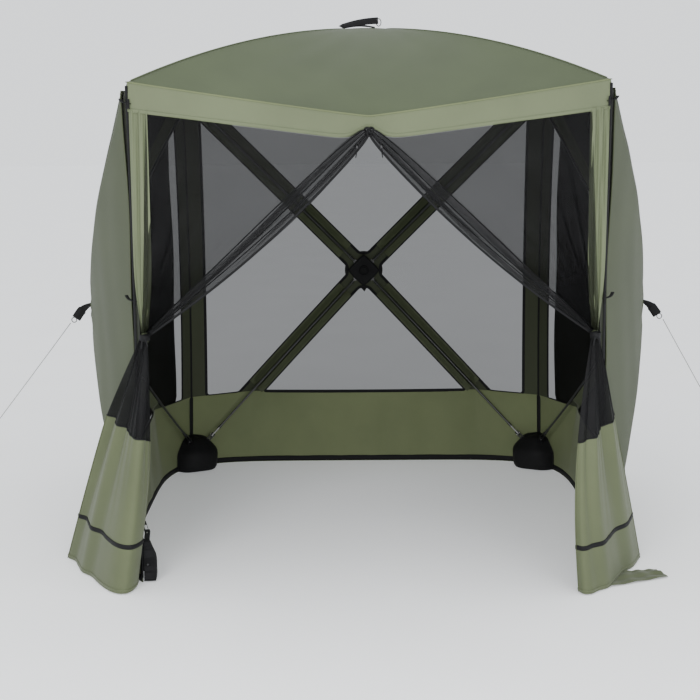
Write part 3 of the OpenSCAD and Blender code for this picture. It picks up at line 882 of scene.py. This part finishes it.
def drape(sx, side):
    """The curtain below its tie, in soft folds that open out down to the ground."""
    seed = 0.6 if sx > 0 else 2.3
    foot = resampled(FOOT_POINTS[side], 161)
    k = across_steps(161)
    d = down_steps(90)
    top_x = TIE_X - 0.013 + 0.026 * k
    top_y = FRONT_Y - 0.034 + 0.006 * sin(pi * k)
    ease = d * (1.1 - 0.1 * d)
    belly = sin(pi * d) * (1 - k) ** 2
    x = top_x + (foot[None, :, 0] - top_x) * ease - 0.03 * belly
    y = top_y + (foot[None, :, 1] + CY - top_y) * ease - 0.02 * belly
    along = np.gradient(foot, axis=0)
    normal = unit(np.stack([along[:, 1], -along[:, 0]], axis=1))
    broad = TAU * (2.9 * k + 0.25 * sin(4 * k + seed) + 0.1 * sin(3 * d + seed)) + seed
    fine = TAU * (8.7 * k + 0.3 * d) + seed
    depth = 0.004 + 0.012 * smooth(d * 2.2) * (1 - 0.78 * d)
    push = depth * fold_wave(broad, 0.5) + 0.004 * fold_wave(fine) * (1 - d) ** 2 * smooth(6 * d)
    x, y = x + push * normal[None, :, 0], y + push * normal[None, :, 1]
    return world(sx * x, y, TIE_H * (1 - d) + 0.004 + 0 * x)


def curtain(sx, side):
    hang = drape(sx, side)
    rows, columns = hang.shape[:2]
    seam = int(rows * SKIRT_SEAM)
    # the seam slants: the mesh reaches lower at the curtain's inner edge
    slant = 0.035 * (1 - 2 * linspace(0, 1, columns))
    bend = np.interp(np.arange(rows), [0, seam, rows - 1], [0, 1, 0])
    hang[..., 2] -= bend[:, None] * slant[None]
    fan, gathered = curtain_fan(sx, side)
    mesh = fan.build(f"{side}_curtain_screen", SCREEN, "black_mesh")
    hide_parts(f"{side}_curtain_mesh")
    folds = gathered.build(f"{side}_curtain_folds", GATHERED, "black_mesh")
    drop = grid_piece(hang[: seam + 1], f"{side}_curtain_drop", DENSE, "black_mesh")
    # the skirt wears the darkened copy of the light cloth, painted shade
    skirt = grid_piece(hang[seam:], f"{side}_curtain_cloth", SHADED_SKIRT_CLOTH, "light_cloth")
    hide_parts(f"{side}_curtain_skirt")
    trim = Shape()
    hems = Shape()
    lines = ((trim, seam, 0.005), (trim, int(rows * SKIRT_BAND), 0.017), (hems, rows - 2, 0.009))
    for where, row, width in lines:
        path = hang[row]
        where.tape(path, np.cross(np.gradient(path, axis=0), (0, 0, 1.0)), width, 0.003)
    for column in (1, columns - 2):
        edge = hang[seam:, column]
        hems.tape(edge, np.cross(np.gradient(edge, axis=0), (0.0, 1.0, 0)), 0.007, 0.0024)
    # the hems share the skirt's painted shade
    hems.build(f"{side}_curtain_hems", SHADED_SKIRT_CLOTH, "light_cloth")
    trim.build(f"{side}_curtain_bands", WEBBING, "black_webbing")


def tie(sx, side):
    """The webbing band that holds a gathered curtain, with its two loose tails."""
    centre = Vector((sx * TIE_X, FRONT_Y - 0.027, TIE_H + 0.007))
    angle = circle(48)
    wobble = TIE_R + 0.0012 * sin(3 * angle)
    ring = world(
        centre.x + wobble * cos(angle), centre.y + wobble * sin(angle), centre.z + 0.002 * sin(2 * angle)
    )
    shape = Shape()
    shape.tape(ring, ring - np.array(centre), 0.02, 0.0026, closed=True)
    for lean, drop in ((-1, 0.034), (1.4, 0.028)):
        tail = resampled([
            (centre.x, centre.y - 0.017, centre.z),
            (centre.x + lean * 0.006, centre.y - 0.021, centre.z - 0.006),
            (centre.x + lean * 0.009, centre.y - 0.019, centre.z - drop)
        ], 20)
        shape.tape(tail, (0, -1, 0), 0.006, 0.002)
    band = shape.build(f"{side}_tie", WEBBING, "black_webbing")
    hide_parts("curtain_ties")


valance()
for sign, hand in ((-1, "left"), (1, "right")):
    jamb(sign, hand)
    tie(sign, hand)
    curtain(sign, hand)


# ---- hub covers, patches and boots

def wall_axes(name):
    if name == "roof":
        return tuple(np.array(((0, CY, CORNER_H), (1, 0, 0), (0, 1, 0), (0, 0, 1)), float))
    origin, along, out = (np.array(a, float) for a in WALLS[name])
    return origin, along, np.array((0, 0, 1.0)), out


def on_hub(name, x, y, z):
    origin, along, up, out = wall_axes(name)
    x, y, z = np.broadcast_arrays(x, y, z)
    return origin + x[..., None] * along + y[..., None] * up + z[..., None] * out


def hub_circle(name, radius, angle, height):
    return on_hub(name, radius * cos(angle), radius * sin(angle), height)


def hub_level(name):
    rise, bow = (ROOF_RISE, ROOF_BOW) if name == "roof" else (WALL_RISE, WALL_BOW)
    return float(profile(HUB_T, rise, bow))


def hub_cover(name):
    """The diamond of doubled cloth on a hub's inner face, with its sewn edge and round boss."""
    level = hub_level(name) - 0.008
    angle = circle(96)[None]
    share = np.concatenate([linspace(0, 0.9, 14), [0.93, 0.96, 0.985, 1.0]])[:, None]
    power = 1.12
    reach = COVER_R / (np.abs(cos(angle)) ** power + np.abs(sin(angle)) ** power) ** (1 / power)
    radius = reach * share
    swell = 0.0045 * (1 - share ** 2) + 0.0012 * exp(-((share - 0.86) / 0.035) ** 2)
    lip = 0.003 * smooth((share - 0.93) / 0.07)
    shape = Shape()
    shape.grid(hub_circle(name, radius, angle, level - 0.0145 - swell + lip), closed=True)
    shape.grid(hub_circle(name, radius, -angle, level - 0.0115 + 0 * swell), closed=True)
    turn = circle(48)
    for radius, depth, width in ((BOSS_R, 0.0205, 0.0026), (0.0135, 0.0215, 0.0018)):
        ring = hub_circle(name, radius, turn, level - depth)
        shape.tube(ring, width, sides=8, closed=True, normals=wall_axes(name)[3])
    face = down_steps(8)
    dome = level - 0.0215 + 0.0035 * face ** 4
    shape.grid(hub_circle(name, BOSS_R * face, turn[None], dome + 0 * turn[None]), closed=True)
    cover = shape.build(f"{name}_hub_diamond", WEBBING, "black_webbing", body=f"{name}_hub")
    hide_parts(f"{name}_hub_cover")


def hub_patch(name):
    """The round reinforcement over a hub outside, domed, with two rows of stitching."""
    level = hub_level(name)
    angle = circle(72)[None]
    share = down_steps(26, 0.02, 1)
    radius = PATCH_R * share
    rows = 0.0006 * (cos(TAU * np.clip((share - 0.8) * 12, -1, 1)) - 1)
    height = level + 0.0022 + 0.004 * (1 - share ** 2) ** 2 + rows - 0.0016 * smooth((share - 0.9) / 0.1)
    shape = Shape()
    shape.grid(hub_circle(name, radius, angle, height + 0 * angle), closed=True)
    shape.faces.append(tuple(range(72)))
    edge = level + np.array([[0.0006], [0.0004]]) + 0 * angle
    shape.grid(hub_circle(name, PATCH_R, angle, edge), closed=True)
    turn = circle(72)
    for ring in (0.0862, 0.062):
        path = hub_circle(name, ring, turn, level + 0.0014 + 0.0016 * (ring < 0.07))
        shape.tape(path, wall_axes(name)[3], 0.004, 0.0016, closed=True)
    patch = shape.build(f"{name}_hub_round", SAGE, "sage_cloth", body=f"{name}_hub")
    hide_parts(f"{name}_hub_patch")


def boots():
    """Black cloth boots sewn over the foot corners: domes with a bound edge, flattened at the front."""
    shape = Shape()
    size = BOOT_R
    turn = np.radians(linspace(-28, 118, 41))[None]
    rise = linspace(-math.asin(FOOT_H / size), math.pi / 2, 27)[:, None]
    for sx in (-1, 1):
        for sy in (-1, 1):
            fan = turn if sy > 0 else np.radians(linspace(0, 118, 33))[None]
            puff = size + 0.0025 * sin(5 * fan + 2 * rise) - 0.002 * cos(9 * rise)
            inward = cos(fan) * np.where((sy < 0) & (cos(fan) > 0), 0.36, 1.0)
            x = HALF - 0.005 - puff * cos(rise) * inward
            y = HALF - 0.005 - puff * cos(rise) * sin(fan)
            z = np.maximum(FOOT_H + 0.9 * puff * sin(rise), 0.0015)
            points = world(sx * x, CY + sy * y, z + 0 * x)
            if sy < 0:  # a flat face closes a front boot towards the door
                axis = world(sx * (HALF - 0.004), CY + sy * (HALF - 0.004), z)
                points = np.concatenate([axis, points], axis=1)
            shape.grid(points)
            shape.tube(points[:, -1], 0.003, sides=8, normals=(0.3, 0.2, 1))
    boot = shape.build("corner_boot_cloth", WEBBING, "black_webbing")
    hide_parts("corner_boots")


for hub in ("left", "right", "back", "roof"):
    hub_cover(hub)
    hub_patch(hub)
boots()


# ---- straps

def folded_strap(name):
    """A webbing loop lying folded on its hub patch, sprung open and leaning to one side."""
    level = hub_level(name) + 0.008
    t = linspace(0, 1, 34)
    run = np.concatenate([0.036 - 0.124 * t, -0.088 + 0.136 * t[1:]])
    lower = level + 0.006 * sin(pi * t) + 0.004 * t
    upper = level + 0.006 + 0.02 * t[1:] + 0.004 * sin(pi * t[1:])
    height = np.concatenate([lower, upper])
    lean = np.radians(8 + 46 * smooth(linspace(0, 1, len(run))))
    along_x = 1.0 if name == "roof" else 0.0
    path = on_hub(name, along_x * run, (1 - along_x) * run, height)
    _, x_axis, y_axis, out = wall_axes(name)
    sideways = -y_axis if name == "roof" else x_axis
    normals = cos(lean)[:, None] * out + sin(lean)[:, None] * sideways
    shape = Shape()
    shape.tape(path, normals, 0.033, 0.0034)
    strap = shape.build(f"{name}_strap_webbing", WEBBING, "black_webbing", body=f"{name}_strap")
    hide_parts(f"{name}_pull_strap")
    angle = circle(32)
    run, lift = 0.05 + 0.009 * cos(angle), level + 0.019 + 0.014 * sin(angle)
    ring = on_hub(name, along_x * run, (1 - along_x) * run, lift)
    metal = Shape()
    metal.tube(ring, 0.0017, sides=8, closed=True, normals=sideways)
    metal.build(f"{name}_strap_ring", PLASTIC, "black_plastic", body=f"{name}_strap")


def held_strap(name):
    """A webbing tab drawn out and down by its guy line, twisted and spread wide at its ring."""
    level = hub_level(name)
    line = resampled([
        (0.03, level + 0.004), (0.005, level + 0.006), (-0.004, level + 0.035), (-0.022, level + 0.065),
        (-0.058, level + 0.09)
    ], 40)
    t = linspace(0, 1, 40)
    path = on_hub(name, 0 * t, line[:, 0], line[:, 1])
    _, x_axis, _, out = wall_axes(name)
    twist = np.radians(78 * smooth((t - 0.2) / 0.5))[:, None]
    shape = Shape()
    wide = 0.55 + 0.6 * smooth((t - 0.3) / 0.6)
    shape.tape(path, cos(twist) * out + sin(twist) * x_axis, 0.032, 0.0026, scale=wide)
    stitched = path[-14:]
    shape.tape(stitched, np.broadcast_to(x_axis, stitched.shape), 0.036, 0.0052)
    strap = shape.build(f"{name}_strap_webbing", WEBBING, "black_webbing", body=f"{name}_hub")
    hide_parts(f"{name}_pull_strap")
    angle = circle(32)
    ring = on_hub(name, 0 * angle, -0.064 + 0.0098 * cos(angle), level + 0.098 + 0.0098 * sin(angle))
    metal = Shape()
    metal.tube(ring, 0.0018, sides=8, closed=True, normals=x_axis)
    metal.build(f"{name}_strap_ring", PLASTIC, "black_plastic", body=f"{name}_hub")


folded_strap("roof")
folded_strap("back")
held_strap("left")
held_strap("right")


# ---- zips, knot and toggles

def zip_pull(sx, side):
    """A zip slider with its cord pull, hanging by the knot."""
    low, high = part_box(f"{side}_zip_slider")
    c = (low + high) / 2
    angle = circle(24)[None]
    rise = down_steps(9, -1, 1)
    bulge = 0.0065 * (1 - np.abs(rise) ** 3 * 0.45)
    shape = Shape()
    x, y = c.x + bulge * cos(angle), c.y - 0.003 + 0.8 * bulge * sin(angle)
    shape.grid(world(x, y, c.z + 0.009 * rise + 0 * angle), closed=True)
    shape.faces += [tuple(range(23, -1, -1)), tuple(range(8 * 24, 9 * 24))]
    body = shape.build(f"{side}_zip_body", PLASTIC, "black_plastic", body=f"{side}_zip")
    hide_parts(f"{side}_zip_slider")
    drop = linspace(0, 1, 16)
    path = world(
        c.x + sx * 0.004 * drop ** 2, c.y - 0.009 - 0.002 * sin(3 * drop), c.z - 0.006 - 0.03 * drop
    )
    cord = Shape()
    cord.tube(path, CORD_R, sides=8)
    pull = cord.build(f"{side}_zip_cord", WEBBING, "black_webbing", body=f"{side}_zip")


def knot():
    """The knotted tape that gathers both curtains at the middle of the valance."""
    t = circle(120)
    size = 0.005
    x = size * (sin(t) + 2 * sin(2 * t))
    z = size * (cos(t) - 2 * cos(2 * t))
    y = -size * 0.8 * sin(3 * t)
    shape = Shape()
    path = world(x, FRONT_Y - 0.02 + y, KNOT_H + z)
    shape.tube(path, 0.0042, sides=10, closed=True, normals=(0, 1, 0.1))
    shape.build("valance_knot", WEBBING, "black_webbing")


def toggles(sx, side):
    """The toggle tabs that hold a wind panel's front edge to the front corner."""
    shape = Shape()
    for height in TOGGLE_HEIGHTS:
        path = resampled([
            (sx * (HALF + 0.03), FRONT_Y + 0.03, height + 0.01),
            (sx * (HALF + 0.02), FRONT_Y + 0.005, height),
            (sx * (HALF + 0.004), FRONT_Y - 0.008, height - 0.004),
            (sx * (HALF - 0.012), FRONT_Y - 0.008, height - 0.006)
        ], 20)
        shape.tape(path, (0, 0, 1), 0.012, 0.002)
        t = linspace(-1, 1, 13)
        bar = world(sx * (HALF - 0.004) + 0 * t, FRONT_Y - 0.013 + 0 * t, height - 0.006 + 0.016 * t)
        shape.tube(bar, 0.0042, sides=10, normals=(0, 1, 0))
    shape.build(f"{side}_toggles", WEBBING, "black_webbing")


def front_edges(sx, side):
    """The black tape down each front corner, beside the jamb, and the dark corner seam at the back."""
    shape = Shape()
    z = linspace(0.02, TOP_H - 0.012, 90)
    v = (z - MID_H) / HALF_H
    pull = 0.014 * (1 - np.clip(v, -1, 1) ** 2)
    shape.tape(world(sx * (HALF + 0.003 - pull * 0.2), FRONT_Y + pull, z), (sx, -1, 0), 0.014, 0.003)
    shape.tape(world(sx * (HALF - pull), CY + HALF - pull, z), (sx, 1, 0), 0.02, 0.003)
    shape.build(f"{side}_corner_tapes", WEBBING, "black_webbing")


knot()
for sign, hand in ((-1, "left"), (1, "right")):
    zip_pull(sign, hand)
    toggles(sign, hand)
    front_edges(sign, hand)


# ---- skirts on the ground

def ground_skirt(name, depth, from_u, to_u):
    u = across_steps(90, from_u, to_u)
    out = down_steps(9)
    origin, along, up, normal = wall_axes(name)
    ripple = 0.0018 + 0.0018 * sin(21 * u + 2 * sin(9 * u) + 3 * out) * out
    reach = foot_arch(u) + 0.004 + out * (depth + 0.006 * sin(13 * u))
    flat_up = 0.002 + np.abs(ripple) - MID_H
    points = origin + (HALF * u)[..., None] * along + flat_up[..., None] * up + reach[..., None] * normal
    sheet = grid_piece(points, f"{name}_ground_skirt", OLIVE, "olive_cloth")
    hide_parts("ground_skirts")
    squash_with(sheet, name)


def curtain_corner():
    """The corner of the right curtain's skirt that lies spread on the ground."""
    a = across_steps(31)
    b = down_steps(25)
    # its four corners: beside the curtain's front, out to the tip, and back along the curtain's foot
    corners = ((0.79, -0.9), (1.049, -0.786), (1.025, -0.7), (0.9, -0.72))
    front, tip, rear, root = [np.array((x, y, 0)) for x, y in corners]
    inner, outer = front + (root - front) * b[..., None], tip + (rear - tip) * b[..., None]
    ground = inner + (outer - inner) * a[..., None]
    ground[..., 1] += CY
    ground[..., 2] = 0.004 + 0.0035 * sin(9 * a + 4 * b) ** 2 + 0.002 * sin(12 * b)
    ground[..., 2] = np.maximum(ground[..., 2], 0.0015)
    # the spread corner wears the skirt's darkened copy of the light cloth, painted shade
    sheet = grid_piece(ground, "right_curtain_corner", SHADED_SKIRT_CLOTH, "light_cloth")


ground_skirt("back", 0.085, -0.95, 0.95)
ground_skirt("left", 0.066, -0.95, 0.3)
ground_skirt("right", 0.066, -0.3, 0.95)
curtain_corner()


# ---- the CAD parts that stay in view

slot_of = {s["node"]: s["material_slot"] for s in frame["record"]["subparts"]}
for names in frame["record"]["behaviour"]["bodies"].values():
    for node_name in names:
        node = frame["nodes"][node_name]
        chosen = SLOTS[slot_of[node_name]]
        if chosen is WEBBING:
            chosen = CAD_WEBBING
        node.data.materials.clear()
        node.data.materials.append(chosen)


# ---- stage and light

def stage():
    n = Nodes("floor")
    n.colour(n.noise(n.scaled("Object", (1, 1, 1)), 2), [(0.3, (0.87, 0.87, 0.87)), (0.7, (0.9, 0.9, 0.9))])
    n.set(Roughness=0.85, Emission_Strength=0.2, Emission_Color=(0.94, 0.97, 1.0, 1))
    mesh = bpy.data.meshes.new("floor")
    mesh.from_pydata([(-30, -30, 0), (30, -30, 0), (30, 30, 0), (-30, 30, 0)], [], [(0, 1, 2, 3)])
    mesh.materials.append(n.material)
    floor = bpy.data.objects.new("floor", mesh)
    floor.location.z = -0.0005
    bpy.context.scene.collection.objects.link(floor)
    sky = bpy.data.worlds.new("studio")
    sky.use_nodes = True
    sky.node_tree.nodes["Background"].inputs["Color"].default_value = (0.94, 0.97, 1.0, 1)
    sky.node_tree.nodes["Background"].inputs["Strength"].default_value = 1.5
    bpy.context.scene.world = sky


def area_light(name, place, target, size, power):
    light = bpy.data.lights.new(name, "AREA")
    light.shape, light.size, light.energy = "DISK", size, power
    obj = bpy.data.objects.new(name, light)
    obj.location = place
    obj.rotation_mode = "QUATERNION"
    obj.rotation_quaternion = (Vector(target) - Vector(place)).to_track_quat("-Z", "Y")
    bpy.context.scene.collection.objects.link(obj)


stage()
area_light("key", (-2.2, -6.4, 3.6), (0, 0, 0.8), 3.0, 230)
area_light("fill", (2.6, -6.4, 1.6), (0, 0, 0.6), 3.0, 130)
area_light("door", (0, -4.2, 0.9), (0, 1, 0.2), 1.2, 40)
